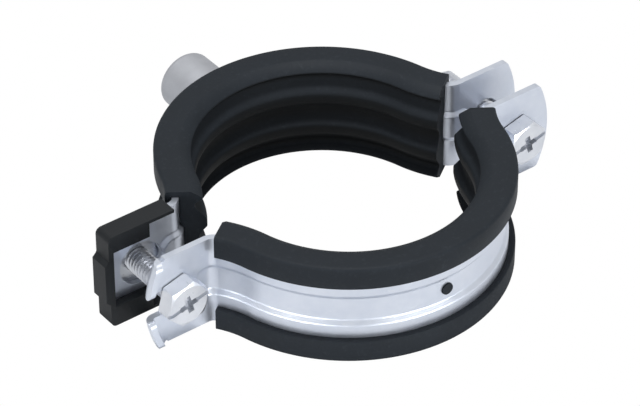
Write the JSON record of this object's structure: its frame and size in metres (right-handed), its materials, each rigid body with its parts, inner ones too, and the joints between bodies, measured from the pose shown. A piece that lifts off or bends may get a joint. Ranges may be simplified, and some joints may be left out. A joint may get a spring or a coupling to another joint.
{
  "type": "pipe clamp",
  "caption": "Rubber lined two-screw pipe clamp with a quick-lock slot on one side and a round connection nut for a threaded rod, shown drawn apart.",
  "frame": {"origin": "on the back half's pipe axis, half way up the band", "axes": "+Z along the pipe, +Y from the front half to the back half and its connection nut, +X towards the plain side, away from the quick-lock screw"},
  "size_m": [0.1158, 0.1015, 0.026],
  "materials": {
    "zinc_steel": "bright zinc plated, faintly blue",
    "screw_steel": "bright zinc plated",
    "lining_rubber": "matt black EPDM rubber",
    "holder_plastic": "black moulded polyamide"
  },
  "bodies": {
    "back_half": {"back_band": "zinc_steel", "back_lining": "lining_rubber", "connection_nut": "zinc_steel", "screw_holder": "holder_plastic", "left_nut": "screw_steel"},
    "front_half": {"front_band": "zinc_steel", "front_lining": "lining_rubber"},
    "right_screw": {"right_screw": "screw_steel"},
    "left_screw": {"left_screw": "screw_steel"}
  },
  "joints": [
    {"name": "closing", "type": "slide", "parent": "back_half", "child": "front_half", "axis": [0, 1, 0], "range_m": [-0.006, 0.0058]},
    {"name": "right_screw_turn", "type": "hinge", "parent": "front_half", "child": "right_screw", "pos_m": [0.048, -0.0116, 0], "axis": [0, 1, 0], "range_deg": [-2165, 2129]},
    {"name": "left_screw_turn", "type": "hinge", "parent": "front_half", "child": "left_screw", "pos_m": [-0.048, -0.0116, 0], "axis": [0, 1, 0], "range_deg": [-2165, 2129]}
  ],
  "couplings": [
    {"joint": "right_screw_turn", "follows": "closing", "rad_per_m": 6283.2},
    {"joint": "left_screw_turn", "follows": "closing", "rad_per_m": 6283.2}
  ]
}
